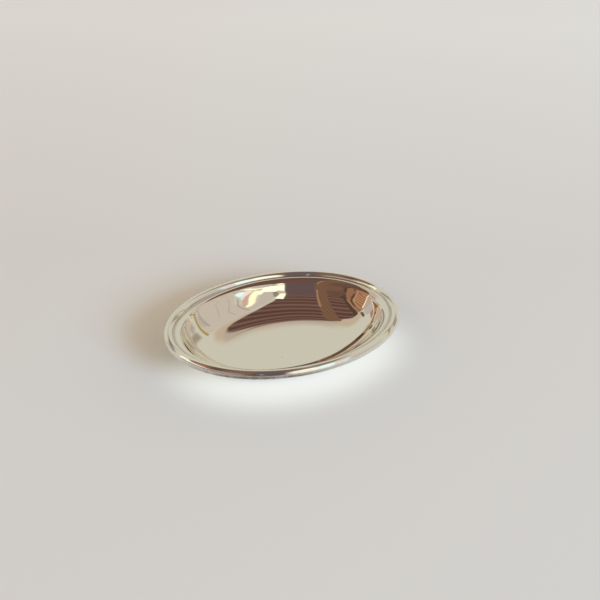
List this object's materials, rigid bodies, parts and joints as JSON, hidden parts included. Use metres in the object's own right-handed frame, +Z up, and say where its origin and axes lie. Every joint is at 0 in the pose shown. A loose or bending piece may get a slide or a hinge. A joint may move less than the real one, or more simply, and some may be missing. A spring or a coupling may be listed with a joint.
{
  "type": "trinket dish",
  "caption": "Small oval polished metal dish with a flat floor, a curved wall and a rounded wire rim, for rings, pins and other small things.",
  "frame": {"origin": "centre of the flat underside, on the surface that the dish stands on", "axes": "+X along the dish's length, +Y across its width, +Z up"},
  "size_m": [0.105, 0.075, 0.0153],
  "materials": {
    "polished_sheet": "mirror-polished silver sheet with fine hand-polishing marks",
    "polished_wire": "mirror-polished silver wire",
    "solder": "silver solder, dressed and slightly duller than the sheet"
  },
  "bodies": {
    "root": {"bowl": "polished_sheet", "rim_wire": "polished_wire", "rim_wire_joint": "solder", "rim_solder": "solder"}
  },
  "joints": []
}
